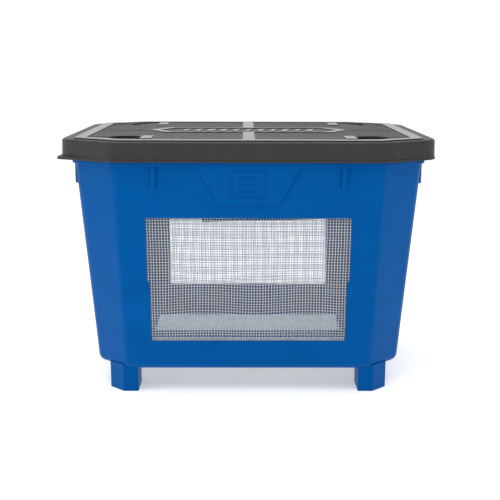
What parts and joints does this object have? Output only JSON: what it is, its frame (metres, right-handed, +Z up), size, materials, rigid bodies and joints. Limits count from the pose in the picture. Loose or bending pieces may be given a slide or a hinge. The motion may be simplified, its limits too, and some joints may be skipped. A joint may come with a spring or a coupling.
{
  "type": "ventilated tote box",
  "caption": "Tapered plastic tote on corner feet with a lift-off lid and mesh windows in its front, rear and floor.",
  "frame": {"origin": "on the ground at the middle of the box's footprint", "axes": "+X to the right along the long side, -Y out of the front wall, +Z up"},
  "size_m": [0.672, 0.4776, 0.4632],
  "materials": {
    "tub": "moulded blue polyethylene, satin",
    "lid": "moulded charcoal polyethylene, fine grain",
    "mesh": "white coated glass-fibre mesh",
    "glue": "clear hot-melt glue"
  },
  "bodies": {
    "tub": {"tub_shell": "tub", "front_mesh": "mesh", "rear_mesh": "mesh", "floor_mesh_front": "mesh", "floor_mesh_rear": "mesh", "front_mesh_glue": "glue", "rear_mesh_glue": "glue", "floor_mesh_front_glue": "glue", "floor_mesh_rear_glue": "glue"},
    "lid": {"lid_shell": "lid"}
  },
  "joints": [
    {"name": "lid_lift", "type": "slide", "parent": "tub", "child": "lid", "axis": [0, 0, 1], "range_m": [0, 0.12]}
  ]
}
